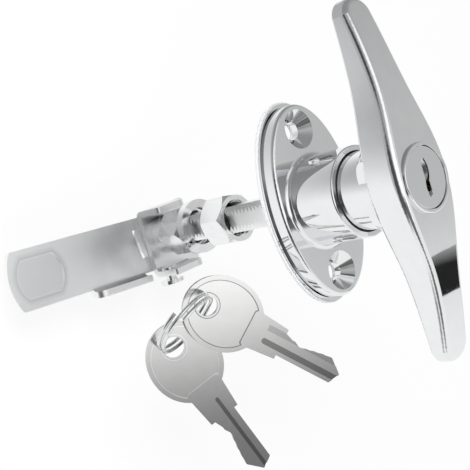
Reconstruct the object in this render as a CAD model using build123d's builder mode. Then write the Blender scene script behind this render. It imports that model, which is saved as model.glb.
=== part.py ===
import math
import os

from build123d import *

# Driving dimensions, in millimetres. The origin is the centre of the rose's back face,
# +Z runs along the rod towards the hand, and +X runs along the grip.

# Fits and gaps
running_clearance = 0.07
slide_clearance = 0.10
seat_clearance = 0.03
end_gap = 0.15
cutter_margin = 1.0

# Rose and its gasket
gasket_half_length = 28.9
gasket_half_width = 16.6
gasket_thickness = 1.0
gasket_edge_radius = 0.3
rose_half_length = 27.3
rose_half_width = 15.7
rose_front = 6.0
rose_edge_radius = 0.9
foot_half_length = 28.3
foot_half_width = 16.3
foot_thickness = 0.5
foot_groove_depth = 0.6
foot_groove_below = 0.25
foot_groove_above = 0.55
screw_spacing = 40.6
screw_hole_radius = 2.55
countersink_radius = 5.45

# Collar
collar_radius = 12.45
collar_rim = 21.45
collar_root_radius = 1.3
collar_edge_radius = 0.5
collar_mouth_chamfer = 0.35

# Grip
grip_length = 96.0
grip_back = 31.5
grip_front = 41.6
grip_end_front = 35.4
grip_half_width = 10.8
grip_quarter_x = 21.6
grip_quarter_width = 7.05
grip_end_width = 5.3
grip_end_round = 4.0
grip_tip_round = 0.9
grip_tip_width = 3.3
grip_edge_radius = 1.9
grip_back_edge_radius = 0.7
neck_radius = 10.55
neck_flare = 2.6

# Neck tail, its clip and its stop
tail_radius = 10.0
tail_flat = 8.6
tail_end = 1.3
pocket_depth = 3.4
pocket_radius = 11.9
stop_washer_radius = 11.6
stop_washer_thickness = 0.75
stop_tab_radius = 13.2
stop_tab_half_angle = 8.0
stop_tab_angle = -135.0
handle_turn = 90.0
disc_spring_thickness = 0.4
disc_spring_rise = 0.15
clip_thickness = 0.95
clip_radius = 11.3
clip_groove_radius = 9.2
clip_opening = 6.0
clip_seat_length = 0.6
seal_wire = 0.9
seal_height = 20.0

# Lock cylinder
bezel_radius = 9.03
bezel_front = 42.3
bezel_seat = 40.4
bezel_floor = 0.6
bezel_edge_radius = 0.35
shell_radius = 7.9
shell_back = 24.5
plug_face_radius = 8.0
plug_face_recess = 0.3
plug_face_edge_radius = 0.3
plug_radius = 5.75
plug_end = 23.2
plug_clip_thickness = 0.65
plug_clip_groove = 0.8
plug_clip_radius = 6.3
plug_tail_side = 4.0
plug_tail_length = 1.7
channel_width = 4.5
channel_depth = 1.1
keyway_length = 9.4
keyway_width = 1.4
keyway_bow = 0.9
keyway_back_bow = 0.45
keyway_bow_x = -1.9
keyway_cross_x = 0.6
keyway_back_bow_x = 2.9
barrel_keyway_length = 7.4

# Wafers and their springs
wafer_count = 5
wafer_pitch = 2.5
wafer_first = 28.0
wafer_thickness = 1.3
wafer_width = 4.0
wafer_travel = 0.8
wafer_window_width = 2.0
wafer_window_length = 7.0
wafer_lug = 1.2
wafer_lug_length = 1.2
wafer_spring_radius = 0.5
wafer_spring_length = 2.6
wafer_spring_start = -1.6

# Plug cam and locking bolt
cam_radius = 5.4
cam_thickness = 2.4
cam_floor = 0.7
cam_chamber_radius = 6.7
cam_pin_radius = 1.0
cam_pin_throw = 0.9
cam_pin_angle = -135.0
cam_pin_gap = 0.6
bolt_thickness = 4.0
bolt_width = 6.0
bolt_nose_width = 4.2
bolt_nose_length = 1.6
bolt_tip = 10.1
bolt_heel = -6.0
bolt_floor = 15.4
bolt_notch_radius = 11.8

# Threaded square rod and its cross pin
rod_side = 8.0
rod_crest_radius = 5.0
thread_pitch = 1.5
thread_depth = 0.75
thread_start = -6.0
rod_front = 14.2
rod_end = -72.6
rod_pin_radius = 1.25
rod_pin_length = 20.2
rod_pin_height = 8.5

# Nuts and lock washer
nut_across_flats = 14.0
nut_corner_chamfer = 1.0
nut_mouth_radius = 5.6
jam_nut_front = -27.85
jam_nut_thickness = 9.1
jam_nut_turn = 11.0
arm_nut_front = -48.2
arm_nut_thickness = 8.2
arm_nut_neck_radius = 6.6
back_nut_thickness = 5.0
washer_radius = 8.4
washer_hole_radius = 5.8
washer_thickness = 2.6
washer_rise = 1.6
washer_split = 8.0
washer_split_angle = 300.0
washer_back_gap = 0.2

# Cam bracket
bracket_front = -61.7
bracket_thickness = 1.9
bracket_left = -9.5
bracket_right = 12.4
bracket_near = -8.8
bracket_far = 9.5
bracket_flange_height = 9.5
bracket_flange_far = 4.6
bracket_bend_radius = 2.4
bracket_corner_radius = 4.4
bracket_near_radius = 1.5
stud_y = -6.3
stud_z = -59.0
stud_shank_radius = 1.7
stud_head_radius = 3.8
stud_head_thickness = 1.4
stud_clear = 1.5
stud_tail_radius = 2.3
stud_tail_thickness = 0.8
stud_edge_radius = 0.3

# Latch arm
arm_thickness = 2.0
arm_width = 17.8
arm_offset = 1.6
arm_set_angle = 4.0
arm_reach = 59.6
arm_back_reach = 10.0
arm_end_radius = 18.0
arm_corner_radius = 1.2
pad_width = 11.6
pad_radius = 7.9
pad_depth = 0.5
pad_from_end = 10.9
slot_length = 9.8
slot_width = 2.4
slot_x = 0.3
slot_y = -10.6
slot_turn = 4.4
rib_start = -32.5
rib_end = -11.9
rib_height = 3.5
rib_outer = 11.6
rib_end_radius = 3.3
rib_bend_radius = 1.5

# Keys and their ring, placed in a plane of their own that leans back from the rose
key_thickness = 1.8
key_head_length = 23.9
key_head_width = 21.0
key_head_back = 6.7
key_hole_radius = 3.0
key_neck_width = 12.4
key_shoulder = 24.2
key_shoulder_width = 9.2
key_blade_width = 6.8
key_tip_near = 1.9
key_tip_far = 4.2
key_corner_radius = 0.5
key_bite_first = 3.0
key_bite_flat = 0.9
key_end_land = 1.95
key_bite_depths = (0.9, 1.7, 1.2, 0.7, 0.3)
key_groove_before = 4.9
key_groove_width = 1.7
key_groove_offset = 1.4
key_groove_depth = 0.45
key_back_groove_width = 1.1
key_back_groove_offset = 0.9
key_step_before = 5.6
key_step_inner = 1.7
key_step_depth = 0.4
key_rim_inset = 1.25
key_rim_width = 0.5
key_rim_height = 0.18
key_rim_step = 0.25
key_field_end = 8.0
key_field_corner = 4.7
key_field_slope = 1.2
keys_plane_tilt = 30.96
keys_plane_height = -7.63
key_1_x = 26.95
key_1_y = -42.62
key_1_rise = 0.0
key_1_angle = 18.33
key_2_x = 18.58
key_2_y = -30.45
key_2_rise = 1.96
key_2_angle = 43.54
ring_wire = 1.1
ring_radius = 9.55
ring_pitch = 1.55
ring_turns = 2
ring_x = 20.59
ring_y = -38.07
ring_rise = 5.65
ring_axis_tilt = 64.17
ring_axis_turn = 32.37

# Sizes worked out from the ones above
collar_bore = neck_radius + running_clearance
pocket_floor = gasket_thickness + pocket_depth
screw_x = screw_spacing / 2
shell_bore = plug_radius + running_clearance
bezel_bore = plug_face_radius + slide_clearance
bezel_floor_height = bezel_seat + bezel_floor
plug_face = bezel_front - plug_face_recess
shell_seat = shell_back - seat_clearance
cam_front = plug_end - slide_clearance
cam_back = cam_front - cam_thickness
bolt_height = bolt_floor + slide_clearance
bolt_top = bolt_height + bolt_thickness
bolt_travel = 2 * cam_pin_throw * math.sin(math.radians(45))
rod_hole_radius = rod_crest_radius + slide_clearance
web_back = bracket_front - bracket_thickness
arm_front = web_back
arm_back = arm_front - arm_thickness
arm_nut_back = arm_nut_front - arm_nut_thickness
inside_left = bracket_left + bracket_thickness
inside_right = bracket_right - bracket_thickness
key_bites_end = key_shoulder + key_bite_first + wafer_pitch * (len(key_bite_depths) - 1) + key_bite_flat / 2
key_tip = key_bites_end + key_end_land + key_tip_far

os.makedirs("parts", exist_ok=True)


def save(piece, name):
    """Label a finished piece and write it under its own name."""
    piece.label = name
    export_step(piece, "parts/" + name + ".step")
    print(name, "volume", round(piece.volume, 2))


def rod_outline(grow=0.0):
    """Draw the square rod's section, whose corners are turned down to the thread's crest."""
    Rectangle(rod_side + 2 * grow, rod_side + 2 * grow)
    Circle(rod_crest_radius + grow, mode=Mode.INTERSECT)


def split_ring(radius, hole_radius, thickness, back, opening):
    """Make a flat open ring that snaps into a groove, its opening towards +X."""
    with BuildPart() as ring:
        with BuildSketch(Plane.XY.offset(back)):
            Circle(radius)
            Circle(hole_radius, mode=Mode.SUBTRACT)
            with Locations((radius, 0)):
                Rectangle(radius, opening, mode=Mode.SUBTRACT)
        extrude(amount=thickness)
    return ring.part


# Gasket: a thin pale pad between the rose and the panel
with BuildPart() as rose_gasket:
    with BuildSketch(Plane.XY):
        Ellipse(gasket_half_length, gasket_half_width)
        Circle(stop_tab_radius + end_gap, mode=Mode.SUBTRACT)
        with Locations((screw_x, 0), (-screw_x, 0)):
            Circle(screw_hole_radius, mode=Mode.SUBTRACT)
    extrude(amount=gasket_thickness)
    fillet(rose_gasket.edges().group_by(Axis.Z)[-1].sort_by(SortBy.LENGTH)[-1],
           gasket_edge_radius)
save(rose_gasket.part, "rose_gasket")

# Rose: an oval plate with a stepped foot, a collar tube and two countersunk screw holes
foot_back = gasket_thickness + foot_groove_below
foot_top = foot_back + foot_thickness
groove_half_length = rose_half_length - foot_groove_depth
groove_half_width = rose_half_width - foot_groove_depth
stop_sweep = handle_turn + 2 * stop_tab_half_angle
stop_slack = math.degrees(end_gap / stop_tab_radius)
with BuildPart() as rose:
    with BuildSketch(Plane.XY.offset(foot_top + foot_groove_above)):
        Ellipse(rose_half_length, rose_half_width)
    extrude(amount=rose_front - foot_top - foot_groove_above)
    fillet(rose.faces().sort_by(Axis.Z)[-1].edges(), rose_edge_radius)
    with BuildSketch(Plane.XY.offset(gasket_thickness)):
        Ellipse(groove_half_length, groove_half_width)
    extrude(amount=rose_front / 2)
    with BuildSketch(Plane.XY.offset(foot_back)):
        Ellipse(foot_half_length, foot_half_width)
    extrude(amount=foot_thickness)
    with BuildSketch(Plane.XY.offset(rose_front)):
        Circle(collar_radius)
    extrude(amount=collar_rim - rose_front)
    root = rose.edges().filter_by(GeomType.CIRCLE).filter_by_position(Axis.Z, rose_front, rose_front)
    fillet(root, collar_root_radius)
    fillet(rose.faces().sort_by(Axis.Z)[-1].edges(), collar_edge_radius)
    with Locations((0, 0, collar_rim)):
        Hole(collar_bore, depth=collar_rim)
    mouth = rose.edges().filter_by(GeomType.CIRCLE).group_by(Axis.Z)[-1].sort_by(SortBy.RADIUS)[0]
    chamfer(mouth, collar_mouth_chamfer)
    with BuildSketch(Plane.XY.offset(gasket_thickness)):
        Circle(pocket_radius)
    extrude(amount=pocket_depth, mode=Mode.SUBTRACT)
    sweep_start = stop_tab_angle - stop_tab_half_angle - stop_slack
    with BuildSketch(Plane.XY.offset(gasket_thickness)):
        with BuildLine():
            arc = CenterArc((0, 0), stop_tab_radius + end_gap, sweep_start, stop_sweep + 2 * stop_slack)
            Line((0, 0), arc @ 0)
            Line((0, 0), arc @ 1)
        make_face()
    extrude(amount=pocket_depth, mode=Mode.SUBTRACT)
    notch_height = bolt_thickness + 2 * end_gap
    notch_middle = bolt_height + bolt_thickness / 2
    notch_width = bolt_nose_width + 2 * end_gap
    for angle in (0, handle_turn):
        side = Plane.XY.offset(notch_middle).rotated((0, 0, angle))
        with Locations(side):
            Box(bolt_notch_radius, notch_width, notch_height, mode=Mode.SUBTRACT,
                align=(Align.MIN, Align.CENTER, Align.CENTER))
    with Locations((screw_x, 0, rose_front), (-screw_x, 0, rose_front)):
        CounterSinkHole(screw_hole_radius, countersink_radius, depth=rose_front, counter_sink_angle=90)
save(rose.part, "rose")

# Handle: the grip, its neck and the spaces for the cylinder, the bolt and the rod
half = grip_length / 2
with BuildPart() as grip:
    with BuildSketch(Plane.XY.offset(grip_back)):
        with BuildLine():
            side = Spline((0, grip_half_width), (grip_quarter_x, grip_quarter_width),
                          (half - grip_end_round, grip_end_width), tangents=((1, 0), (1, -0.04)))
            ThreePointArc(side @ 1, (half - grip_tip_round, grip_tip_width), (half, 0))
            Line((0, 0), (half, 0))
            Line((0, 0), (0, grip_half_width))
        make_face()
        mirror(about=Plane.YZ)
        mirror(about=Plane.XZ)
    extrude(amount=grip_front)
    with BuildSketch(Plane.XZ):
        with BuildLine():
            crown_reach = half + cutter_margin
            crown = ThreePointArc((-crown_reach, grip_end_front), (0, grip_front),
                                  (crown_reach, grip_end_front))
            Polyline(crown @ 0, (-crown_reach, grip_back), (crown_reach, grip_back), crown @ 1)
        make_face()
    extrude(amount=grip_half_width * 2, both=True, mode=Mode.INTERSECT)
    fillet(grip.faces().sort_by(Axis.Z)[-1].edges(), grip_edge_radius)
    fillet(grip.faces().sort_by(Axis.Z)[0].edges(), grip_back_edge_radius)

flare_radius = neck_radius + neck_flare
flare_top = grip_back + grip_back_edge_radius
with BuildPart() as flare:
    with BuildSketch(Plane.XZ):
        with BuildLine():
            Polyline((0, flare_top), (flare_radius, flare_top), (flare_radius, grip_back))
            curve = RadiusArc((flare_radius, grip_back), (neck_radius, grip_back - neck_flare), neck_flare)
            Polyline(curve @ 1, (0, grip_back - neck_flare), (0, flare_top))
        make_face()
    revolve(axis=Axis.Z)
    with BuildSketch(Plane.XY.offset(grip_back - neck_flare)):
        Rectangle(grip_length, 2 * (grip_half_width - grip_back_edge_radius))
    extrude(amount=neck_flare * 2, mode=Mode.INTERSECT)

tail_shoulder = pocket_floor + seat_clearance
clip_back = tail_end + clip_seat_length
clip_groove_height = clip_thickness + slide_clearance
with BuildPart() as handle:
    add(grip.part)
    add(flare.part)
    with BuildSketch(Plane.XY.offset(tail_shoulder)):
        Circle(neck_radius)
    extrude(amount=flare_top - tail_shoulder)
    with BuildSketch(Plane.XY.offset(tail_end)):
        Circle(tail_radius)
        Rectangle(2 * tail_radius, 2 * tail_flat, mode=Mode.INTERSECT)
    extrude(amount=pocket_floor)
    with BuildSketch(Plane.XY.offset(clip_back)):
        Circle(neck_radius + cutter_margin)
        Circle(clip_groove_radius, mode=Mode.SUBTRACT)
    extrude(amount=clip_groove_height, mode=Mode.SUBTRACT)
    with BuildSketch(Plane.XY.offset(shell_seat)):
        Circle(shell_radius + seat_clearance)
    extrude(amount=grip_front, mode=Mode.SUBTRACT)
    with BuildSketch(Plane.XY.offset(bezel_seat - seat_clearance)):
        Circle(bezel_radius + seat_clearance)
    extrude(amount=grip_front, mode=Mode.SUBTRACT)
    with BuildSketch(Plane.XY.offset(bolt_top)):
        Circle(cam_chamber_radius)
    extrude(amount=shell_back - bolt_top, mode=Mode.SUBTRACT)
    with BuildSketch(Plane.XY.offset(bolt_floor)):
        with Locations((bolt_heel - bolt_travel, 0)):
            Rectangle(2 * neck_radius, bolt_width + 2 * slide_clearance, mode=Mode.ADD,
                      align=(Align.MIN, Align.CENTER))
    extrude(amount=bolt_thickness + 2 * slide_clearance, mode=Mode.SUBTRACT)
    with BuildSketch(Plane.XY.offset(tail_end)):
        rod_outline(slide_clearance)
    extrude(amount=rod_front + slide_clearance - tail_end, mode=Mode.SUBTRACT)
    with BuildSketch(Plane.XZ):
        with Locations((0, rod_pin_height)):
            Circle(rod_pin_radius + seat_clearance)
    extrude(amount=neck_radius + cutter_margin, both=True, mode=Mode.SUBTRACT)
    with BuildSketch(Plane.XZ):
        with Locations((neck_radius, seal_height)):
            Rectangle(2 * seal_wire, seal_wire + 2 * slide_clearance)
    revolve(axis=Axis.Z, mode=Mode.SUBTRACT)
save(handle.part, "handle")

# Seal: a round rubber ring in the neck's groove
seal_middle = neck_radius + running_clearance / 2 - seal_wire / 2
with BuildPart() as handle_seal:
    with BuildSketch(Plane.XZ):
        with Locations((seal_middle, seal_height)):
            Circle(seal_wire / 2)
    revolve(axis=Axis.Z)
save(handle_seal.part, "handle_seal")

# Stop washer: keyed to the tail's flats, with a tab that meets the ends of the rose's recess
stop_washer_back = pocket_floor - seat_clearance - stop_washer_thickness
with BuildPart() as stop_washer:
    with BuildSketch(Plane.XY.offset(stop_washer_back)):
        with BuildLine():
            tab_start = stop_tab_angle - stop_tab_half_angle
            arc = CenterArc((0, 0), stop_tab_radius, tab_start, 2 * stop_tab_half_angle)
            Line((0, 0), arc @ 0)
            Line((0, 0), arc @ 1)
        make_face()
        Circle(stop_washer_radius)
        with BuildSketch(mode=Mode.SUBTRACT):
            Circle(tail_radius + seat_clearance)
            Rectangle(3 * tail_radius, 2 * (tail_flat + seat_clearance), mode=Mode.INTERSECT)
    extrude(amount=stop_washer_thickness)
save(stop_washer.part, "stop_washer")

# Disc spring: a shallow cone that keeps the handle drawn in without play
spring_inner = tail_radius + slide_clearance
spring_back = clip_back + clip_thickness + 2 * seat_clearance
with BuildPart() as disc_spring:
    with BuildSketch(Plane.XZ):
        with BuildLine():
            Polyline((spring_inner, spring_back), (clip_radius, spring_back + disc_spring_rise),
                     (clip_radius, spring_back + disc_spring_rise + disc_spring_thickness),
                     (spring_inner, spring_back + disc_spring_thickness), close=True)
        make_face()
    revolve(axis=Axis.Z)
save(disc_spring.part, "disc_spring")

# Neck clip: the open ring that holds the handle in the rose
neck_clip = split_ring(clip_radius, clip_groove_radius + seat_clearance, clip_thickness,
                       clip_back + seat_clearance, clip_opening)
save(neck_clip, "neck_clip")

# Cylinder shell: the bezel that shows on the grip and the barrel behind it
with BuildPart() as cylinder_shell:
    with BuildSketch(Plane.XY.offset(shell_back)):
        Circle(shell_radius)
    extrude(amount=bezel_seat - shell_back + bezel_floor)
    with BuildSketch(Plane.XY.offset(bezel_seat)):
        Circle(bezel_radius)
    extrude(amount=bezel_front - bezel_seat)
    fillet(cylinder_shell.faces().sort_by(Axis.Z)[-1].edges(), bezel_edge_radius)
    with BuildSketch(Plane.XY.offset(bezel_floor_height)):
        Circle(bezel_bore)
    extrude(amount=bezel_front, mode=Mode.SUBTRACT)
    with BuildSketch(Plane.XY.offset(shell_back)):
        Circle(shell_bore)
    extrude(amount=bezel_front, mode=Mode.SUBTRACT)
    channel_start = wafer_first - wafer_thickness
    channel_length = wafer_pitch * (wafer_count - 1) + 2 * wafer_thickness
    with BuildSketch(Plane.XY.offset(channel_start)):
        Rectangle(2 * (plug_radius + channel_depth), channel_width)
        Rectangle(channel_width, 2 * (plug_radius + channel_depth))
    extrude(amount=channel_length, mode=Mode.SUBTRACT)
save(cylinder_shell.part, "cylinder_shell")

# Plug: the turning core with its bowed keyway, wafer slots and square tail
clip_groove_top = shell_back - slide_clearance
wafer_slot_height = wafer_thickness + 2 * slide_clearance
wafer_heights = [wafer_first + wafer_pitch * i for i in range(wafer_count)]
lug_reach = wafer_width / 2 + wafer_lug
spring_y = wafer_width / 2 + wafer_lug / 2 + slide_clearance
with BuildPart() as cylinder_plug:
    with BuildSketch(Plane.XY.offset(plug_end)):
        Circle(plug_radius)
    extrude(amount=plug_face - plug_end)
    with BuildSketch(Plane.XY.offset(bezel_floor_height + slide_clearance)):
        Circle(plug_face_radius)
    extrude(amount=plug_face - bezel_floor_height - slide_clearance)
    fillet(cylinder_plug.faces().sort_by(Axis.Z)[-1].edges(), plug_face_edge_radius)
    with BuildSketch(Plane.XY.offset(plug_end - plug_tail_length)):
        Rectangle(plug_tail_side, plug_tail_side)
    extrude(amount=plug_tail_length)
    with BuildSketch(Plane.XY.offset(clip_groove_top - plug_clip_thickness)):
        Circle(plug_radius + cutter_margin)
        Circle(plug_radius - plug_clip_groove, mode=Mode.SUBTRACT)
    extrude(amount=plug_clip_thickness, mode=Mode.SUBTRACT)
    with BuildSketch(Plane.XY.offset(bezel_floor_height)):
        with BuildLine():
            bow = ThreePointArc((-keyway_length / 2, 0), (keyway_bow_x, keyway_bow), (keyway_cross_x, 0))
            ThreePointArc(bow @ 1, (keyway_back_bow_x, -keyway_back_bow), (keyway_length / 2, 0))
        trace(line_width=keyway_width)
    extrude(amount=bezel_front, mode=Mode.SUBTRACT)
    with BuildSketch(Plane.XY.offset(wafer_first - wafer_pitch)):
        Rectangle(barrel_keyway_length, keyway_width)
    extrude(amount=bezel_front, mode=Mode.SUBTRACT)
    for height in wafer_heights:
        with BuildSketch(Plane.XY.offset(height - wafer_slot_height / 2)):
            Rectangle(2 * plug_radius + cutter_margin, wafer_width + 2 * slide_clearance)
            with Locations((wafer_spring_start + slide_clearance, 0)):
                Rectangle(wafer_travel + wafer_lug_length + 2 * slide_clearance, lug_reach + slide_clearance,
                          align=(Align.MIN, Align.MIN))
        extrude(amount=wafer_slot_height, mode=Mode.SUBTRACT)
        with BuildSketch(Plane.YZ.offset(wafer_spring_start + slide_clearance)):
            with Locations((spring_y, height)):
                Circle(wafer_spring_radius + slide_clearance)
        extrude(amount=-wafer_spring_length - 2 * slide_clearance, mode=Mode.SUBTRACT)
save(cylinder_plug.part, "cylinder_plug")

# Wafers: thin windowed plates, each with a side lug that its spring pushes
wafer_half = math.sqrt((plug_radius - slide_clearance) ** 2 - (wafer_width / 2) ** 2)
with BuildPart() as wafers:
    for height in wafer_heights:
        with BuildSketch(Plane.XY.offset(height - wafer_thickness / 2)):
            Rectangle(2 * wafer_half, wafer_width)
            with Locations((wafer_spring_start + 2 * slide_clearance, 0)):
                Rectangle(wafer_lug_length, lug_reach, align=(Align.MIN, Align.MIN))
            Rectangle(wafer_window_length, wafer_window_width, mode=Mode.SUBTRACT)
        extrude(amount=wafer_thickness)
save(wafers.part, "wafers")

# Wafer springs: small springs in side pockets of the plug
with BuildPart() as wafer_springs:
    for height in wafer_heights:
        with BuildSketch(Plane.YZ.offset(wafer_spring_start)):
            with Locations((spring_y, height)):
                Circle(wafer_spring_radius)
        extrude(amount=-wafer_spring_length)
save(wafer_springs.part, "wafer_springs")

# Plug clip: the open ring that keeps the plug in its shell
plug_clip = split_ring(plug_clip_radius, plug_radius - plug_clip_groove + seat_clearance,
                       plug_clip_thickness - 2 * seat_clearance,
                       clip_groove_top - plug_clip_thickness + seat_clearance, plug_tail_side)
save(plug_clip, "plug_clip")

# Plug cam: a disc on the plug's tail whose off-centre pin moves the locking bolt
pin_x = cam_pin_throw * math.cos(math.radians(cam_pin_angle))
pin_y = cam_pin_throw * math.sin(math.radians(cam_pin_angle))
with BuildPart() as plug_cam:
    with BuildSketch(Plane.XY.offset(cam_back)):
        Circle(cam_radius)
    extrude(amount=cam_thickness)
    with BuildSketch(Plane.XY.offset(cam_back + cam_floor)):
        Rectangle(plug_tail_side + 2 * seat_clearance, plug_tail_side + 2 * seat_clearance)
    extrude(amount=cam_thickness, mode=Mode.SUBTRACT)
    with BuildSketch(Plane.XY.offset(cam_back)):
        with Locations((pin_x, pin_y)):
            Circle(cam_pin_radius)
    extrude(amount=-(cam_back - bolt_height - cam_pin_gap))
save(plug_cam.part, "plug_cam")

# Locking bolt: slides across the neck into a notch inside the collar
pin_slot_width = 2 * (cam_pin_radius + running_clearance)
pin_slot_far = cam_pin_throw + cam_pin_radius + end_gap
pin_slot_near = cam_pin_radius + end_gap + pin_y
with BuildPart() as locking_bolt:
    with BuildSketch(Plane.XY.offset(bolt_height)):
        with BuildLine():
            Polyline((bolt_heel, -bolt_width / 2), (bolt_tip - bolt_nose_length, -bolt_width / 2),
                     (bolt_tip - bolt_nose_length, -bolt_nose_width / 2), (bolt_tip, -bolt_nose_width / 2),
                     (bolt_tip, bolt_nose_width / 2), (bolt_tip - bolt_nose_length, bolt_nose_width / 2),
                     (bolt_tip - bolt_nose_length, bolt_width / 2), (bolt_heel, bolt_width / 2), close=True)
        make_face()
        with Locations((pin_x, -pin_slot_far)):
            Rectangle(pin_slot_width, pin_slot_far + pin_slot_near, mode=Mode.SUBTRACT,
                      align=(Align.CENTER, Align.MIN))
    extrude(amount=bolt_thickness)
save(locking_bolt.part, "locking_bolt")

# Square rod: flat sides, corners turned to a thread, drilled for its cross pin
thread_count = int((thread_start - rod_end) / thread_pitch)
with BuildPart() as square_rod:
    with BuildSketch(Plane.XZ):
        with BuildLine():
            points = [(0, rod_front), (rod_crest_radius, rod_front), (rod_crest_radius, thread_start)]
            for i in range(thread_count):
                height = thread_start - thread_pitch * i
                points.append((rod_crest_radius - thread_depth, height - thread_pitch / 2))
                points.append((rod_crest_radius, height - thread_pitch))
            points.append((rod_crest_radius - thread_depth, rod_end))
            points.append((0, rod_end))
            Polyline(*points, close=True)
        make_face()
    revolve(axis=Axis.Z)
    with BuildSketch(Plane.XY.offset(rod_end)):
        Rectangle(rod_side, rod_side)
    extrude(amount=rod_front - rod_end, mode=Mode.INTERSECT)
    with BuildSketch(Plane.XZ):
        with Locations((0, rod_pin_height)):
            Circle(rod_pin_radius + seat_clearance)
    extrude(amount=rod_side, both=True, mode=Mode.SUBTRACT)
save(square_rod.part, "square_rod")

# Rod pin: the cross pin that holds the rod in the neck
with BuildPart() as rod_pin:
    with BuildSketch(Plane.XZ):
        with Locations((0, rod_pin_height)):
            Circle(rod_pin_radius)
    extrude(amount=rod_pin_length / 2, both=True)
save(rod_pin.part, "rod_pin")


def hex_nut(front, thickness, turn):
    """Make a hexagon nut with a bevelled rim on both faces and a bevelled bore."""
    with BuildPart() as nut:
        with BuildSketch(Plane.XY.offset(front - thickness)):
            RegularPolygon(nut_across_flats / 2, 6, major_radius=False, rotation=turn)
        extrude(amount=thickness)
        corner = nut_across_flats / 2 / math.cos(math.radians(30))
        with BuildSketch(Plane.XZ):
            with BuildLine():
                Polyline((0, front), (nut_across_flats / 2, front), (corner, front - nut_corner_chamfer),
                         (corner, front - thickness + nut_corner_chamfer),
                         (nut_across_flats / 2, front - thickness), (0, front - thickness), close=True)
            make_face()
        revolve(axis=Axis.Z, mode=Mode.INTERSECT)
        with Locations((0, 0, front)):
            Hole(rod_hole_radius, depth=thickness)
        bore_edges = nut.edges().filter_by(GeomType.CIRCLE).filter_by(lambda e: e.radius < nut_mouth_radius)
        chamfer(bore_edges, nut_mouth_radius - rod_hole_radius)
    return nut.part


# Jam nut: stands loose near the middle of the rod
save(hex_nut(jam_nut_front, jam_nut_thickness, 30 - jam_nut_turn), "jam_nut")

# Arm nut: a hexagon nut with a round neck that bears on the bracket
with BuildPart() as arm_nut:
    add(hex_nut(arm_nut_front, arm_nut_thickness, 30))
    with BuildSketch(Plane.XY.offset(bracket_front + seat_clearance)):
        Circle(arm_nut_neck_radius)
        Circle(rod_hole_radius, mode=Mode.SUBTRACT)
    extrude(amount=arm_nut_back - bracket_front + nut_corner_chamfer)
save(arm_nut.part, "arm_nut")

# Back nut: clamps the bracket and the arm from behind
back_nut_front = arm_back - seat_clearance
save(hex_nut(back_nut_front, back_nut_thickness, 30), "back_nut")

# Lock washer: one helical turn of square-edged wire, split at its ends
washer_wall = washer_radius - washer_hole_radius
washer_middle = washer_radius - washer_wall / 2
washer_back = arm_nut_front + washer_back_gap
washer_span = 360 - 2 * washer_split
washer_pitch = washer_rise * 360 / washer_span
washer_turn = washer_split_angle + washer_split
washer_start = Plane.XY.offset(washer_back + washer_thickness / 2).rotated((0, 0, washer_turn))
washer_path = washer_start * Helix(pitch=washer_pitch, height=washer_rise, radius=washer_middle)
with BuildPart() as lock_washer:
    with BuildSketch(Plane(washer_path @ 0, x_dir=washer_start.x_dir, z_dir=washer_path % 0)):
        Rectangle(washer_wall, washer_thickness)
    sweep(path=washer_path, is_frenet=True)
save(lock_washer.part, "lock_washer")
washer_ends = lock_washer.faces().filter_by(GeomType.PLANE).sort_by(SortBy.AREA)[:2]
end_points = [[edge @ (i / 8) for edge in face.edges() for i in range(9)] for face in washer_ends]
split_gap = min((a - b).length for a in end_points[0] for b in end_points[1])
print("lock washer least gap to itself", round(split_gap, 2))

# Cam bracket: a bent plate clamped on the rod, its flanges towards the handle
flange_top = web_back + bracket_thickness + bracket_flange_height
with BuildPart() as cam_bracket:
    with BuildSketch(Plane.XZ.offset(-bracket_far)):
        with BuildLine():
            Polyline((bracket_left, flange_top), (bracket_left, web_back), (bracket_right, web_back),
                     (bracket_right, flange_top), (inside_right, flange_top), (inside_right, bracket_front),
                     (inside_left, bracket_front), (inside_left, flange_top), close=True)
        make_face()
    extrude(amount=bracket_far - bracket_near)
    bends = cam_bracket.edges().filter_by(Axis.Y)
    outer_bends = bends.filter_by_position(Axis.Z, web_back, web_back)
    fillet(outer_bends, bracket_bend_radius)
    bends = cam_bracket.edges().filter_by(Axis.Y)
    inner_bends = bends.filter_by_position(Axis.Z, bracket_front, bracket_front)
    fillet(inner_bends, bracket_bend_radius - bracket_thickness)
    far_cut = bracket_far - bracket_flange_far
    with BuildSketch(Plane.YZ.offset(bracket_left - cutter_margin)):
        with Locations((bracket_far, bracket_front)):
            Rectangle(far_cut, bracket_flange_height + cutter_margin, align=(Align.MAX, Align.MIN))
    extrude(amount=bracket_right - bracket_left + 2 * cutter_margin, mode=Mode.SUBTRACT)
    flange_corners = cam_bracket.edges().filter_by(Axis.X).group_by(Axis.Z)[-1].group_by(Axis.Y)[-1]
    fillet(flange_corners, bracket_corner_radius)
    near_corners = cam_bracket.edges().filter_by(Axis.X).group_by(Axis.Z)[-1]
    fillet(near_corners.group_by(Axis.Y)[0], bracket_near_radius)
    with BuildSketch(Plane.XY.offset(web_back)):
        rod_outline(slide_clearance)
    extrude(amount=bracket_thickness, mode=Mode.SUBTRACT)
    with BuildSketch(Plane.YZ.offset(inside_right)):
        with Locations((stud_y, stud_z)):
            Circle(stud_shank_radius + seat_clearance)
    extrude(amount=bracket_thickness, mode=Mode.SUBTRACT)
save(cam_bracket.part, "cam_bracket")

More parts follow.
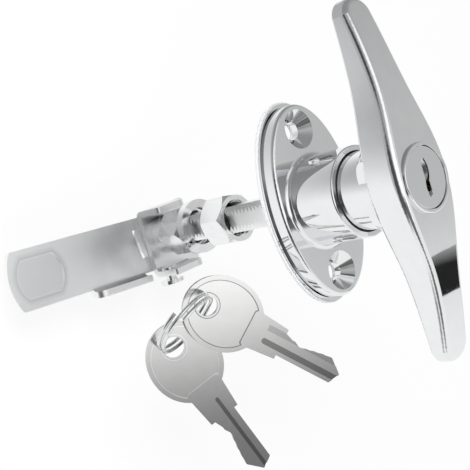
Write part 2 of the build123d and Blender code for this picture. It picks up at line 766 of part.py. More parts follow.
# Flange stud: a headed pin riveted through the bracket's flange
stud_plane = Plane.YZ.offset(inside_right)
with BuildPart() as flange_stud:
    with BuildSketch(stud_plane):
        with Locations((stud_y, stud_z)):
            Circle(stud_shank_radius)
    extrude(amount=bracket_thickness + stud_clear + stud_head_thickness)
    with BuildSketch(stud_plane.offset(bracket_thickness + stud_clear)):
        with Locations((stud_y, stud_z)):
            Circle(stud_head_radius)
    extrude(amount=stud_head_thickness)
    fillet(flange_stud.faces().sort_by(Axis.X)[-1].edges(), stud_edge_radius)
    with BuildSketch(stud_plane.offset(-seat_clearance)):
        with Locations((stud_y, stud_z)):
            Circle(stud_tail_radius)
    extrude(amount=-stud_tail_thickness)
    fillet(flange_stud.faces().sort_by(Axis.X)[0].edges(), stud_edge_radius)
    with BuildSketch(stud_plane.offset(-stud_tail_thickness / 2)):
        with Locations((stud_y, stud_z)):
            Circle(stud_shank_radius)
    extrude(amount=stud_tail_thickness)
save(flange_stud.part, "flange_stud")

# Latch arm: a stamped plate behind the bracket, set a few degrees round the rod
arm_plane = Plane((arm_offset, 0, arm_back)).rotated((0, 0, -arm_set_angle))
arm_half = arm_width / 2
arm_shoulder = arm_end_radius - arm_reach - math.sqrt(arm_end_radius ** 2 - arm_half ** 2)
rib_inner = rib_outer - arm_thickness
rib_top = arm_thickness + rib_height
rib_origin = arm_plane.from_local_coords(Vector(0, rib_start, 0))
rib_section = Plane(rib_origin, x_dir=arm_plane.x_dir, z_dir=-arm_plane.y_dir)
pad_y = pad_from_end - arm_reach
with BuildPart() as latch_arm:
    with BuildSketch(arm_plane) as arm_outline:
        with BuildLine():
            end = ThreePointArc((-arm_half, arm_shoulder), (0, -arm_reach), (arm_half, arm_shoulder))
            Polyline(end @ 0, (-arm_half, arm_back_reach), (arm_half, arm_back_reach), end @ 1)
        make_face()
        fillet(arm_outline.vertices(), arm_corner_radius)
    extrude(amount=arm_thickness)
    with BuildSketch(rib_section) as rib_shape:
        with BuildLine():
            Polyline((0, 0), (rib_outer, 0), (rib_outer, rib_top), (rib_inner, rib_top),
                     (rib_inner, arm_thickness), (0, arm_thickness), close=True)
        make_face()
        corners = rib_shape.vertices()
        fillet(corners.sort_by_distance((rib_inner, arm_thickness, 0))[0], rib_bend_radius)
        corners = rib_shape.vertices()
        fillet(corners.sort_by_distance((rib_outer, 0, 0))[0], rib_bend_radius + arm_thickness)
    extrude(amount=rib_start - rib_end)
    near_top = latch_arm.edges().filter_by(Axis.Z, reverse=True).group_by(Axis.Z)[-1]
    fillet(near_top.sort_by(Axis.Y)[0], rib_end_radius)
    pad_sketch_plane = arm_plane.offset(arm_thickness)
    with BuildSketch(pad_sketch_plane):
        with Locations((0, pad_y)):
            Circle(pad_radius)
            Rectangle(pad_width, 2 * pad_radius, mode=Mode.INTERSECT)
    extrude(amount=-pad_depth, mode=Mode.SUBTRACT)
    with BuildSketch(arm_plane):
        with Locations((0, pad_y)):
            Circle(pad_radius)
            Rectangle(pad_width, 2 * pad_radius, mode=Mode.INTERSECT)
    extrude(amount=-pad_depth)
    with BuildSketch(Plane.XY.offset(arm_back)):
        with Locations(Location((slot_x, slot_y), slot_turn)):
            Rectangle(slot_length, slot_width)
    extrude(amount=arm_thickness, mode=Mode.SUBTRACT)
    with BuildSketch(Plane.XY.offset(arm_back)):
        rod_outline(slide_clearance)
    extrude(amount=arm_thickness, mode=Mode.SUBTRACT)
save(latch_arm.part, "latch_arm")


def flat_key(turned):
    """Make a flat key on its hole: turned 1 has its bites at +Y and its broad groove up, -1 the reverse."""
    head_middle = key_head_length / 2 - key_head_back
    half_blade = key_blade_width / 2
    half_neck = key_neck_width / 2
    half_shoulder = key_shoulder_width / 2
    bites = []
    for i, depth in enumerate(key_bite_depths):
        middle = key_shoulder + key_bite_first + wafer_pitch * i
        bites.append((middle - key_bite_flat / 2, half_blade - depth))
        bites.append((middle + key_bite_flat / 2, half_blade - depth))
    outline = [(head_middle, half_neck), (key_shoulder, half_shoulder), (key_shoulder, half_blade)]
    outline += bites
    outline += [(key_tip - key_tip_far, half_blade), (key_tip, 0), (key_tip - key_tip_near, -half_blade)]
    outline += [(key_shoulder, -half_blade), (key_shoulder, -half_shoulder), (head_middle, -half_neck)]
    with BuildPart() as key:
        with BuildSketch() as shape:
            with Locations((head_middle, 0)):
                Ellipse(key_head_length / 2, key_head_width / 2)
            with BuildLine():
                Polyline(*[(x, turned * y) for x, y in outline], close=True)
            make_face()
            corners = shape.vertices().sort_by(Axis.X)
            throat = corners.filter_by_position(Axis.X, head_middle + half_neck, key_shoulder - half_blade)
            fillet(throat + corners[-3:], key_corner_radius)
            Circle(key_hole_radius, mode=Mode.SUBTRACT)
        extrude(amount=key_thickness / 2, both=True)
        for face in (1, -1):
            surface = Plane.XY.offset(face * key_thickness / 2)
            for edge, depth in ((0, key_rim_height / 2), (key_rim_step, key_rim_height)):
                inset = key_rim_inset + edge
                field_end = head_middle + key_field_end - edge
                slope_end = field_end + key_field_slope
                field_corner = key_field_corner + edge
                field_edge = field_corner + key_field_slope
                with BuildSketch(surface):
                    with Locations((head_middle, 0)):
                        Ellipse(key_head_length / 2 - inset, key_head_width / 2 - inset)
                    with BuildLine():
                        Polyline((field_end, -field_corner), (slope_end, -field_edge),
                                 (key_shoulder, -field_edge), (key_shoulder, field_edge),
                                 (slope_end, field_edge), (field_end, field_corner), close=True)
                    make_face(mode=Mode.SUBTRACT)
                    Circle(key_hole_radius + key_rim_width + edge, mode=Mode.SUBTRACT)
                extrude(amount=-face * depth, mode=Mode.SUBTRACT)
            broad = face == turned
            width = key_groove_width if broad else key_back_groove_width
            offset = key_groove_offset if broad else key_back_groove_offset
            with BuildSketch(surface):
                with Locations((key_shoulder - key_groove_before, -turned * offset)):
                    Rectangle(key_tip, width, align=(Align.MIN, Align.CENTER))
                with Locations((key_shoulder - key_groove_before, -turned * offset)):
                    Circle(width / 2)
            extrude(amount=-face * key_groove_depth, mode=Mode.SUBTRACT)
        step_width = half_blade - key_step_inner
        with BuildSketch(Plane.XY.offset(turned * key_thickness / 2)):
            with Locations((key_shoulder - key_step_before, turned * (key_step_inner + step_width / 2))):
                Rectangle(key_tip, step_width, align=(Align.MIN, Align.CENTER))
        extrude(amount=-turned * key_step_depth, mode=Mode.SUBTRACT)
    return key.part


# Keys: two alike, held by the ring and seen from opposite faces, one above the other
tilt = math.radians(keys_plane_tilt)
keys_plane = Plane((0, 0, keys_plane_height), x_dir=(1, 0, 0), z_dir=(0, -math.sin(tilt), math.cos(tilt)))
key_1_place = keys_plane.location * Location((key_1_x, key_1_y, key_1_rise), (0, 0, key_1_angle))
key_2_place = keys_plane.location * Location((key_2_x, key_2_y, key_2_rise), (0, 0, key_2_angle))
save(key_1_place * flat_key(-1), "key_1")
save(key_2_place * flat_key(1), "key_2")

# Key ring: two turns of round wire, one unbroken tube through both key holes
axis_tilt = math.radians(ring_axis_tilt)
axis_turn = math.radians(ring_axis_turn)
ring_axis = Vector(math.sin(axis_tilt) * math.cos(axis_turn), math.sin(axis_tilt) * math.sin(axis_turn),
                   math.cos(axis_tilt))
ring_up = Vector(-math.cos(axis_tilt) * math.cos(axis_turn), -math.cos(axis_tilt) * math.sin(axis_turn),
                 math.sin(axis_tilt))
ring_frame = Plane((ring_x, ring_y, ring_rise), x_dir=ring_up, z_dir=ring_axis)
ring_plane = Plane(keys_plane.location * ring_frame.location)


def ring_point(half_turns):
    """A point of the ring's path: each half turn rises by half the pitch."""
    angle = math.pi * half_turns
    rise = ring_pitch * (half_turns - ring_turns) / 2
    local = Vector(ring_radius * math.cos(angle), ring_radius * math.sin(angle), rise)
    return ring_plane.from_local_coords(local)


with BuildPart() as key_ring:
    with BuildLine() as ring_path:
        for i in range(2 * ring_turns):
            ThreePointArc(ring_point(i), ring_point(i + 0.5), ring_point(i + 1))
    with BuildSketch(Plane(ring_path.line @ 0, z_dir=ring_path.line % 0)):
        Circle(ring_wire / 2)
    sweep(path=ring_path.line)
save(key_ring.part, "key_ring")

steps = 48
ring_points = [ring_point(i / steps) for i in range(2 * ring_turns * steps + 1)]
ring_gap = min((ring_points[a] - ring_points[b]).length for a in range(len(ring_points))
               for b in range(a + steps, len(ring_points))) - ring_wire
ring_length = sum(edge.length for edge in ring_path.edges())
ring_ratio = key_ring.part.volume / (ring_length * math.pi * ring_wire ** 2 / 4)
print("key ring least gap to itself", round(ring_gap, 3), "volume ratio", round(ring_ratio, 4))
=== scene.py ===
import math

import bpy
from mathutils import Matrix, Vector


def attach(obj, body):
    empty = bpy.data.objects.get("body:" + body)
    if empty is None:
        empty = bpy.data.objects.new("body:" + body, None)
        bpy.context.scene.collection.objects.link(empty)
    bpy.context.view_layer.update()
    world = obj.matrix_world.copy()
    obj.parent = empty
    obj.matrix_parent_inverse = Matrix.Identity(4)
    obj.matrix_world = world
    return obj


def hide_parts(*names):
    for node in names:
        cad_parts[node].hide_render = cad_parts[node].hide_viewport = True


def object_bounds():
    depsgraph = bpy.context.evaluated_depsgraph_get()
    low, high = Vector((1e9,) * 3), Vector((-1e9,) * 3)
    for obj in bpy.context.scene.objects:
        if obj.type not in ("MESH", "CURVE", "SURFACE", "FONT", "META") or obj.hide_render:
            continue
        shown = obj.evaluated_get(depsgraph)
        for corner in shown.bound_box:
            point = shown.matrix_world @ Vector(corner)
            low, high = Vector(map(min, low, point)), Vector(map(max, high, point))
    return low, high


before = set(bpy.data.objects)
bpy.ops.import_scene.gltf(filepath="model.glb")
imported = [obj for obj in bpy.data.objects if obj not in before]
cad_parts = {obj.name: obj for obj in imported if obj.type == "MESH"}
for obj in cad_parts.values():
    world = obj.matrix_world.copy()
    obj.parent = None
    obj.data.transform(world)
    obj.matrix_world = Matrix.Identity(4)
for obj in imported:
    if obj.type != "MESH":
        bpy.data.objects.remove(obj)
cad_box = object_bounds()


# The camera stands above the keys and looks down on the lock with the grip's long side
# upright in the picture, so it is rolled by a quarter turn. Its place was worked out from
# the round screw holes, the rod's line and the grip's length.
camera = bpy.data.objects.new("photo_camera", bpy.data.cameras.new("photo_camera"))
bpy.context.scene.collection.objects.link(camera)
camera.data.lens = 76.6
camera.data.sensor_width = 36.0
camera.data.clip_start = 0.01
camera.data.clip_end = 20.0
camera_right = (0.30055, 0.68118, 0.66758)
camera_up = (-0.94807, 0.28978, 0.13115)
camera_back = (-0.10411, -0.67233, 0.73290)
camera.matrix_world = Matrix.Translation((-0.0265, -0.2031, 0.1900)) @ Matrix(
    (camera_right, camera_up, camera_back)).transposed().to_4x4()
bpy.context.scene.camera = camera
bpy.context.scene.view_settings.view_transform = "Standard"


# The lock is shown over a pale studio floor in soft light. Polished metal sees a grey tent
# that is brighter overhead and at the grip's lower end, and dark towards the open side.
class Socket:
    """One output of a material's nodes, which takes part in plain sums."""

    def __init__(self, tree, output=None):
        self.tree = tree
        self.output = output

    def node(self, kind, settings=None, output=0, **values):
        """Add a node, set it up, fill its sockets with numbers, colours or links."""
        made = self.tree.nodes.new(kind)
        for name, value in (settings or {}).items():
            if name == "stops":
                ramp = made.color_ramp.elements
                while len(ramp) < len(value):
                    ramp.new(1.0)
                for stop, (place, shade) in zip(ramp, value):
                    stop.position = place
                    stop.color = (shade, shade, shade, 1.0)
            else:
                setattr(made, name, value)
        for name, value in values.items():
            place = int(name[1:]) if name[1:].isdigit() else name.replace("_", " ")
            entry = made.inputs[place]
            if isinstance(value, Socket):
                self.tree.links.new(value.output, entry)
            else:
                entry.default_value = value
        return Socket(self.tree, made.outputs[output] if made.outputs else None)

    def maths(self, operation, first, second=0.0):
        return self.node("ShaderNodeMath", {"operation": operation}, i0=first, i1=second)

    def __add__(self, other):
        return self.maths("ADD", self, other)

    def __radd__(self, other):
        return self.maths("ADD", other, self)

    def __sub__(self, other):
        return self.maths("SUBTRACT", self, other)

    def __rsub__(self, other):
        return self.maths("SUBTRACT", other, self)

    def __mul__(self, other):
        return self.maths("MULTIPLY", self, other)

    def __rmul__(self, other):
        return self.maths("MULTIPLY", other, self)

    def __truediv__(self, other):
        return self.maths("DIVIDE", self, other)

    def __gt__(self, other):
        return self.maths("GREATER_THAN", self, other)

def new_finish(name):
    """Start a material and hand back its nodes as an empty socket to build from."""
    material = bpy.data.materials.new(name)
    material.use_nodes = True
    material.node_tree.nodes.clear()
    return material, Socket(material.node_tree)


studio = bpy.data.worlds.new("studio")
studio.use_nodes = True
studio.node_tree.nodes.clear()
bpy.context.scene.world = studio
sky = Socket(studio.node_tree)
towards = sky.node("ShaderNodeTexCoord", output="Generated")


def lobe(direction, edge, core):
    """Rise softly from 0 to 1 as a ray turns from the edge to the core of a direction."""
    along = sky.node("ShaderNodeVectorMath", {"operation": "DOT_PRODUCT"}, output="Value",
                     i0=towards, i1=direction)
    return sky.node("ShaderNodeMapRange", {"interpolation_type": "SMOOTHSTEP"}, Value=along,
                    From_Min=edge, From_Max=core, To_Min=0.0, To_Max=1.0)


walls = 0.30 + 0.26 * lobe((1, 0, 0), -0.85, 0.0) + 0.42 * lobe((1, 0, 0), 0.05, 0.55)
far_panel = walls + 0.22 * lobe((0.09, 0.45, 0.89), 0.93, 0.99)
ceiling = far_panel + 0.68 * lobe((-0.05, -0.15, 0.985), 0.86, 0.95)
opening = ceiling * (1 - 0.85 * lobe((0.05, -0.94, 0.34), 0.82, 0.94))
beam = lobe((1, 0, 0), 0.12, 0.28) * lobe((0.25, -0.45, 0.86), 0.90, 0.95)
tent = opening * (1 - 0.82 * beam)
seen = sky.node("ShaderNodeLightPath", output="Is Camera Ray")
mirrored = sky.node("ShaderNodeLightPath", output="Is Glossy Ray")
refracted = sky.node("ShaderNodeLightPath", output="Is Transmission Ray")
tent_colour = sky.node("ShaderNodeMix", {"data_type": "RGBA"}, output=2, i0=mirrored,
                       i6=(1, 1, 1, 1), i7=tent)
lit = sky.node("ShaderNodeBackground", Color=(1, 1, 1, 1), Strength=0.6)
shown = sky.node("ShaderNodeBackground", Color=tent_colour, Strength=1.0)
sky_mix = sky.node("ShaderNodeMixShader", i0=(seen + mirrored + refracted) > 0.5, i1=lit, i2=shown)
sky.node("ShaderNodeOutputWorld", Surface=sky_mix)

floor_level = cad_box[0].z - 0.004
floor_mesh = bpy.data.meshes.new("studio_floor")
floor_reach_out = 3
floor_corners = [(across * floor_reach_out, along * floor_reach_out, floor_level)
                 for across, along in ((-1, -1), (1, -1), (1, 1), (-1, 1))]
floor_mesh.from_pydata(floor_corners, [], [(0, 1, 2, 3)])
studio_floor = bpy.data.objects.new("studio_floor", floor_mesh)
bpy.context.scene.collection.objects.link(studio_floor)
floor_finish, paint = new_finish("white_floor")
floor_seen = paint.node("ShaderNodeLightPath", output="Is Camera Ray")
floor_mirrored = paint.node("ShaderNodeLightPath", output="Is Glossy Ray")
floor_shown = (floor_seen + floor_mirrored) > 0.5
floor_paint = paint.node("ShaderNodeBsdfDiffuse", Color=(0.86, 0.86, 0.86, 1))
# For glossy rays only, the floor glows with painted shade: darker away towards the open side, with
# a painted shadow under the lock.
floor_place = paint.node("ShaderNodeTexCoord", output="Object")
floor_reach = paint.node("ShaderNodeVectorMath", {"operation": "DOT_PRODUCT"}, output="Value",
                         i0=floor_place, i1=(-0.9, -0.45, 0.0))
floor_painted_falloff = paint.node("ShaderNodeMapRange", {"interpolation_type": "SMOOTHSTEP"},
                        Value=floor_reach, From_Min=0.05, From_Max=0.15, To_Min=0.0, To_Max=1.0)
under_lock = paint.node("ShaderNodeVectorMath", {"operation": "DISTANCE"}, output="Value",
                        i0=floor_place, i1=(-0.014, -0.019, floor_level))
floor_shadow = paint.node("ShaderNodeMapRange", {"interpolation_type": "SMOOTHSTEP"},
                          Value=under_lock, From_Min=0.032, From_Max=0.012, To_Min=0.0, To_Max=0.85)
floor_tone = paint.node("ShaderNodeMix", {"data_type": "RGBA"}, output=2,
                        i0=(floor_painted_falloff + floor_shadow) * floor_mirrored,
                        i6=(1.0, 1.0, 1.0, 1), i7=(0.36, 0.36, 0.37, 1))
floor_glow = paint.node("ShaderNodeEmission", Color=floor_tone, Strength=1.0)
floor_mix = paint.node("ShaderNodeMixShader", i0=floor_shown * 0.85, i1=floor_paint, i2=floor_glow)
paint.node("ShaderNodeOutputMaterial", Surface=floor_mix)
floor_mesh.materials.append(floor_finish)


def softbox(name, place, aim, size, power):
    """Hang a square lamp at a place and point it at a spot on the lock."""
    lamp = bpy.data.objects.new(name, bpy.data.lights.new(name, "AREA"))
    bpy.context.scene.collection.objects.link(lamp)
    lamp.data.size = size
    lamp.data.energy = power
    lamp.location = place
    lamp.visible_glossy = False
    lamp.rotation_mode = "QUATERNION"
    lamp.rotation_quaternion = (Vector(aim) - Vector(place)).to_track_quat("-Z", "Y")


softbox("key_softbox", (-0.5, -0.35, 0.75), (0, 0, 0), 0.5, 6.0)
softbox("fill_softbox", (0.55, -0.6, 0.5), (0, 0, 0), 0.6, 3.0)


def flag(name, centre, along, across, length, width):
    """Hang a black card that only polished metal sees, as a photographer does."""
    run = Vector(along).normalized() * length / 2
    side = Vector(across).normalized() * width / 2
    middle = Vector(centre)
    corners = [middle - run - side, middle + run - side, middle + run + side, middle - run + side]
    card = bpy.data.meshes.new(name)
    card.from_pydata(corners, [], [(0, 1, 2, 3)])
    card.materials.append(flag_finish)
    hung = bpy.data.objects.new(name, card)
    bpy.context.scene.collection.objects.link(hung)
    hung.visible_camera = False
    hung.visible_diffuse = False
    hung.visible_shadow = False
    hung.visible_transmission = False


flag_finish, cloth = new_finish("black_flag")
flag_place = cloth.node("ShaderNodeTexCoord", output="Object")
flag_across = cloth.node("ShaderNodeVectorMath", {"operation": "DOT_PRODUCT"}, output="Value",
                         i0=flag_place, i1=(1, 0, 0))
flag_fade = cloth.node("ShaderNodeMapRange", Value=flag_across, From_Min=0.160, From_Max=0.182,
                       To_Min=0.36, To_Max=0.02)
flag_shade = cloth.node("ShaderNodeEmission", Color=flag_fade, Strength=1.0)
cloth.node("ShaderNodeOutputMaterial", Surface=flag_shade)
flag("far_flag", (0.1925, 0.395, 0.299), (0.35, -0.55, 0.75), (1, -0.25, -0.45), 0.06, 0.066)


# The rose is a zinc casting, polished and chrome plated. Two countersunk screws fix it to
# the door, and its collar tube carries the handle's neck.
def noise(base, size, detail=3.0, roughness=0.55):
    """Cloudy values from 0 to 1 whose clouds are about this many metres across."""
    place = base.node("ShaderNodeTexCoord", output="Object")
    return base.node("ShaderNodeTexNoise", Vector=place, Scale=1 / size, Detail=detail,
                     Roughness=roughness)


def streaks(base, size, stretch):
    """Cloudy values drawn out along one axis by the stretch, as brushing does."""
    place = base.node("ShaderNodeTexCoord", output="Object")
    drawn = base.node("ShaderNodeMapping", Vector=place, Scale=stretch)
    return base.node("ShaderNodeTexNoise", Vector=drawn, Scale=1 / size, Detail=4.0, Roughness=0.6)


def tint(base, share, first, second):
    """Run from the first colour to the second as the share goes from 0 to 1."""
    return base.node("ShaderNodeMix", {"data_type": "RGBA"}, output=2, i0=share,
                     i6=(*first, 1), i7=(*second, 1))


def metal(base, colour, roughness, bump, depth):
    """Join up a metal surface whose colour, gloss and height are worked out already."""
    normal = base.node("ShaderNodeBump", Height=bump, Distance=depth, Strength=1.0)
    surface = base.node("ShaderNodeBsdfPrincipled", Base_Color=colour, Roughness=roughness,
                        Metallic=1.0, Normal=normal)
    base.node("ShaderNodeOutputMaterial", Surface=surface)


def dress(material, slot, *names):
    """Give CAD nodes a finish."""
    for name in names:
        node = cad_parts[name]
        node.data.materials.clear()
        node.data.materials.append(material)


chrome, plating = new_finish("polished_chrome")
waves = noise(plating, 0.012, 1.0)
haze = noise(plating, 0.004)
rub = streaks(plating, 0.0015, (0.2, 1.0, 1.0))
chrome_colour = tint(plating, haze, (0.80, 0.81, 0.82), (0.87, 0.875, 0.88))
metal(plating, chrome_colour, 0.025 + 0.05 * haze * rub, waves, 0.00004)
dress(chrome, "chrome", "rose")


# The gasket is a thin pale sheet, punched to the rose's outline. It lies between the rose
# and the door.
sheet_finish, sheet = new_finish("pale_gasket")
grain = noise(sheet, 0.0006)
sheet_normal = sheet.node("ShaderNodeBump", Height=grain, Distance=0.00003, Strength=1.0)
sheet_colour = tint(sheet, grain, (0.70, 0.71, 0.72), (0.78, 0.785, 0.79))
sheet_shade = sheet.node("ShaderNodeBsdfPrincipled", Base_Color=sheet_colour,
                         Roughness=0.55 + 0.2 * grain, Normal=sheet_normal)
sheet.node("ShaderNodeOutputMaterial", Surface=sheet_shade)
dress(sheet_finish, "gasket", "rose_gasket")


# The handle is one chrome plated casting: a tapered grip with a crowned front and a round
# neck that turns in the collar.
dress(chrome, "chrome", "handle")


# A black rubber ring seals the neck in the collar. It is moulded, with a dull bloom on its
# skin, and is a bead in the neck's groove. Its thin lip in the collar's bevelled mouth is a dark
# sheet put there as painted shade: it fills the gap between neck and collar and draws the dark line
# at the mouth.
rubber, moulding = new_finish("black_rubber")
bloom = noise(moulding, 0.0012)
rubber_normal = moulding.node("ShaderNodeBump", Height=bloom, Distance=0.00002, Strength=1.0)
rubber_colour = tint(moulding, bloom, (0.012, 0.012, 0.012), (0.03, 0.03, 0.03))
rubber_shade = moulding.node("ShaderNodeBsdfPrincipled", Base_Color=rubber_colour,
                             Roughness=0.6 + 0.25 * bloom, Normal=rubber_normal)
moulding.node("ShaderNodeOutputMaterial", Surface=rubber_shade)
bead_middle = 0.010135
bead_height = 0.020
bead_radius = 0.00045
# The lip is painted shade: a thin black sheet in the gap at the collar's mouth.
lip_inside = 0.01056
lip_outside = 0.01060
lip_edge = 0.01090
lip_foot = 0.02112
lip_top = 0.02142
bead_step = 20
seal_profile = [(bead_middle + bead_radius * math.cos(math.radians(turn)),
                 bead_height + bead_radius * math.sin(math.radians(turn)))
                for turn in range(0, -360, -bead_step)]
seal_profile += [(lip_inside, lip_top), (lip_edge, lip_top), (lip_outside, lip_foot)]
seal_steps = 240
seal_points = []
seal_faces = []
for step in range(seal_steps):
    around = 2 * math.pi * step / seal_steps
    seal_points += [(reach * math.cos(around), reach * math.sin(around), height)
                    for reach, height in seal_profile]
    here = step * len(seal_profile)
    there = (step + 1) % seal_steps * len(seal_profile)
    for i in range(len(seal_profile)):
        after = (i + 1) % len(seal_profile)
        seal_faces.append((here + i, here + after, there + after, there + i))
seal_mesh = bpy.data.meshes.new("lip_seal")
seal_mesh.from_pydata(seal_points, [], seal_faces)
seal_mesh.materials.append(rubber)
lip_seal = bpy.data.objects.new("lip_seal", seal_mesh)
bpy.context.scene.collection.objects.link(lip_seal)
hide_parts("handle_seal")
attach(lip_seal, "handle_body")


# The disc spring, the two open clips and the wafers' springs are grey spring steel, rolled
# thin, with faint mill marks along their length.
spring_steel, rolled = new_finish("spring_steel")
mill_marks = streaks(rolled, 0.0006, (1.0, 0.15, 1.0))
metal(rolled, tint(rolled, mill_marks, (0.42, 0.43, 0.45), (0.60, 0.61, 0.63)),
      0.2 + 0.2 * mill_marks, mill_marks, 0.00002)
dress(spring_steel, "spring_steel", "disc_spring", "neck_clip", "plug_clip", "wafer_springs")


# The lock cylinder is a cast shell with a chrome bezel, and its plug has a satin face with
# the keyway. Five brass wafers stand in the plug.
dress(chrome, "chrome", "cylinder_shell")
plug_finish, turned = new_finish("satin_plug_face")
plug_place = turned.node("ShaderNodeTexCoord", output="Object")
rings = turned.node("ShaderNodeTexWave", {"wave_type": "RINGS", "rings_direction": "Z"},
                    Vector=plug_place, Scale=900.0, Distortion=1.2, Detail=2.0)
metal(turned, tint(turned, rings, (0.78, 0.79, 0.80), (0.82, 0.825, 0.83)), 0.12 + 0.08 * rings,
      rings, 0.000001)
dress(plug_finish, "chrome", "cylinder_plug")

brass, stamped = new_finish("stamped_brass")
brass_marks = noise(stamped, 0.001)
metal(stamped, tint(stamped, brass_marks, (0.62, 0.46, 0.20), (0.78, 0.62, 0.32)),
      0.25 + 0.2 * brass_marks, brass_marks, 0.00002)
dress(brass, "brass", "wafers")


# The cam, the locking bolt, the rod's cross pin and the stop washer are plain or zinc plated
# steel, which looks pale and a little cloudy.
zinc, dip = new_finish("zinc_plated_steel")
clouds = noise(dip, 0.006)
speckle = noise(dip, 0.0005)
metal(dip, tint(dip, clouds, (0.78, 0.79, 0.80), (0.92, 0.925, 0.93)),
      0.24 + 0.16 * clouds * speckle, speckle, 0.000006)
dress(zinc, "zinc_steel", "stop_washer", "plug_cam", "locking_bolt", "rod_pin")


# The square rod is drawn steel with a thread rolled on its corners, zinc plated afterwards,
# which leaves the flats between the threads pale and smooth.
rod_finish, rod_plate = new_finish("threaded_zinc")
rod_clouds = noise(rod_plate, 0.008)
metal(rod_plate, tint(rod_plate, rod_clouds, (0.90, 0.905, 0.91), (0.97, 0.972, 0.975)),
      0.26 + 0.10 * rod_clouds, rod_clouds, 0.000004)
dress(rod_finish, "zinc_steel", "square_rod")


# The nuts and the sprung washer are bright zinc plated steel, turned and milled.
bright_zinc, barrel = new_finish("bright_zinc")
tumble = noise(barrel, 0.002)
metal(barrel, tint(barrel, tumble, (0.82, 0.83, 0.84), (0.94, 0.945, 0.95)),
      0.10 + 0.12 * tumble, tumble, 0.00001)
dress(bright_zinc, "zinc_steel", "jam_nut", "arm_nut", "back_nut", "lock_washer", "flange_stud")


# The bracket and the latch arm are pressed from thick steel strip, zinc plated, with the
# strip's fine rolling lines still to be seen.
strip, rolling = new_finish("pressed_strip")
lines = streaks(rolling, 0.0004, (1.0, 0.08, 1.0))
patches = noise(rolling, 0.009)
metal(rolling, tint(rolling, patches, (0.80, 0.81, 0.82), (0.93, 0.935, 0.94)),
      0.22 + 0.12 * lines + 0.06 * patches, lines, 0.00001)
dress(strip, "zinc_steel", "cam_bracket")


# The latch arm is stamped from the same strip. Its pressed pad has a painted highlight on its rim
# and a band of painted shade around it, and the plating's clouds darken towards the rod as painted
# shade.
arm_finish, press = new_finish("stamped_arm")
pad_middle = (-0.001797, -0.048582, 0.0)
pad_half_width = 0.0058
pad_radius = 0.0079
press_place = press.node("ShaderNodeTexCoord", output="Object")
pad_offset = press.node("ShaderNodeVectorMath", {"operation": "SUBTRACT"}, i0=press_place,
                        i1=pad_middle)
pad_across = press.node("ShaderNodeVectorMath", {"operation": "DOT_PRODUCT"}, output="Value",
                        i0=pad_offset, i1=(0.997564, -0.069756, 0.0))
pad_along = press.node("ShaderNodeVectorMath", {"operation": "DOT_PRODUCT"}, output="Value",
                       i0=pad_offset, i1=(0.069756, 0.997564, 0.0))
pad_reach = press.maths("SQRT", pad_across * pad_across + pad_along * pad_along)
pad_flat = press.maths("ABSOLUTE", pad_across)
pad_edge = press.maths("MAXIMUM", pad_flat - pad_half_width, pad_reach - pad_radius) * 1000
# Painted highlight on the pad's rim and painted shade in a band just outside it.
pad_highlight_shade_stops = [(0.0, 0.90), (0.11, 0.90), (0.155, 1.0), (0.21, 1.0), (0.25, 0.76), (0.36, 0.86),
              (0.60, 1.0)]
pad_highlight_and_shade = press.node("ShaderNodeValToRGB", {"stops": pad_highlight_shade_stops}, Fac=(pad_edge + 1) / 5)
# Painted shade: the arm's random clouds darken towards the rod and the bracket.
rod_side_shade = press.node("ShaderNodeMapRange", {"interpolation_type": "SMOOTHSTEP"}, Value=pad_along,
                      From_Min=0.014, From_Max=0.030, To_Min=0.0, To_Max=1.0)
arm_clouds = noise(press, 0.009)
arm_lines = streaks(press, 0.0004, (1.0, 0.08, 1.0))
arm_clouds_and_shade = tint(press, arm_clouds * rod_side_shade, (0.97, 0.972, 0.975), (0.62, 0.625, 0.63))
arm_colour = press.node("ShaderNodeMix", {"data_type": "RGBA", "blend_type": "MULTIPLY"}, output=2,
                        i0=1.0, i6=pad_highlight_and_shade, i7=arm_clouds_and_shade)
metal(press, arm_colour, 0.22 + 0.12 * arm_lines + 0.06 * arm_clouds, arm_lines, 0.00001)
dress(arm_finish, "zinc_steel", "latch_arm")


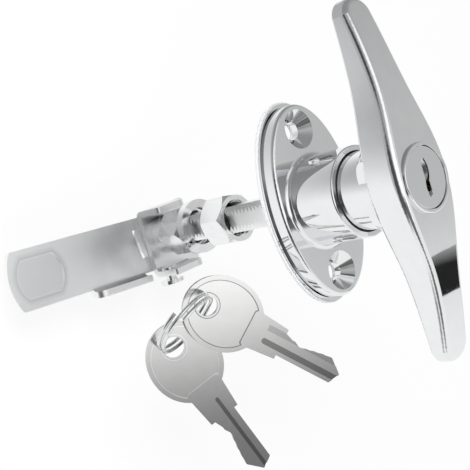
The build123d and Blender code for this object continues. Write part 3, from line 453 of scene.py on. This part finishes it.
# The two keys are stamped from brass sheet and nickel plated. Their coined fields and milled
# grooves lie below the faces and carry painted shade, with a painted highlight line at one depth.
# The first key's coined edge has a lighter tone, and the second key's is painted dark as the shadow
# along it.
keys_normal = (0.0, -0.514440, 0.857526)


def nickel_plate(name, middle, edge):
    """Make one key's finish, whose colour carries painted shade and highlight by depth and its own
    tone on the coined edge.
    """
    plate, tumbled = new_finish(name)
    place = tumbled.node("ShaderNodeTexCoord", output="Object")
    rise = tumbled.node("ShaderNodeVectorMath", {"operation": "DOT_PRODUCT"}, output="Value",
                        i0=place, i1=keys_normal)
    depth = tumbled.maths("ABSOLUTE", rise - middle) * 1000
    # Painted shade in the recessed fields and grooves, with a painted highlight line, set by depth.
    levels = [(0.0, 0.42), (0.44, 0.34), (0.47, 0.34), (0.49, 0.58), (0.52, 0.58), (0.56, 0.30),
              (0.70, 0.40), (0.715, 0.84), (0.73, 0.84), (0.75, edge), (0.87, edge),
              (0.893, 0.80)]
    level = tumbled.node("ShaderNodeValToRGB", {"stops": levels}, Fac=depth)
    dull = noise(tumbled, 0.003)
    fine = noise(tumbled, 0.0005)
    cloud = tint(tumbled, dull, (0.92, 0.92, 0.92), (1.0, 1.0, 0.99))
    colour = tumbled.node("ShaderNodeMix", {"data_type": "RGBA", "blend_type": "MULTIPLY"},
                          output=2, i0=1.0, i6=level, i7=cloud)
    metal(tumbled, colour, 0.09 + 0.07 * fine, fine, 0.000002)
    return plate


# The first key's coined edge is given a lighter tone; the second key's is painted dark as the
# shadow along it.
dress(nickel_plate("nickel_plate_1", -0.006543, 1.0), "nickel", "key_1")
dress(nickel_plate("nickel_plate_2", -0.004583, 0.32), "nickel", "key_2")


# The ring that holds the keys is two turns of bright spring wire.
wire, drawn = new_finish("bright_wire")
draw_marks = noise(drawn, 0.0015)
metal(drawn, tint(drawn, draw_marks, (0.62, 0.63, 0.64), (0.88, 0.885, 0.89)),
      0.06 + 0.10 * draw_marks, draw_marks, 0.000004)
dress(wire, "spring_steel", "key_ring")
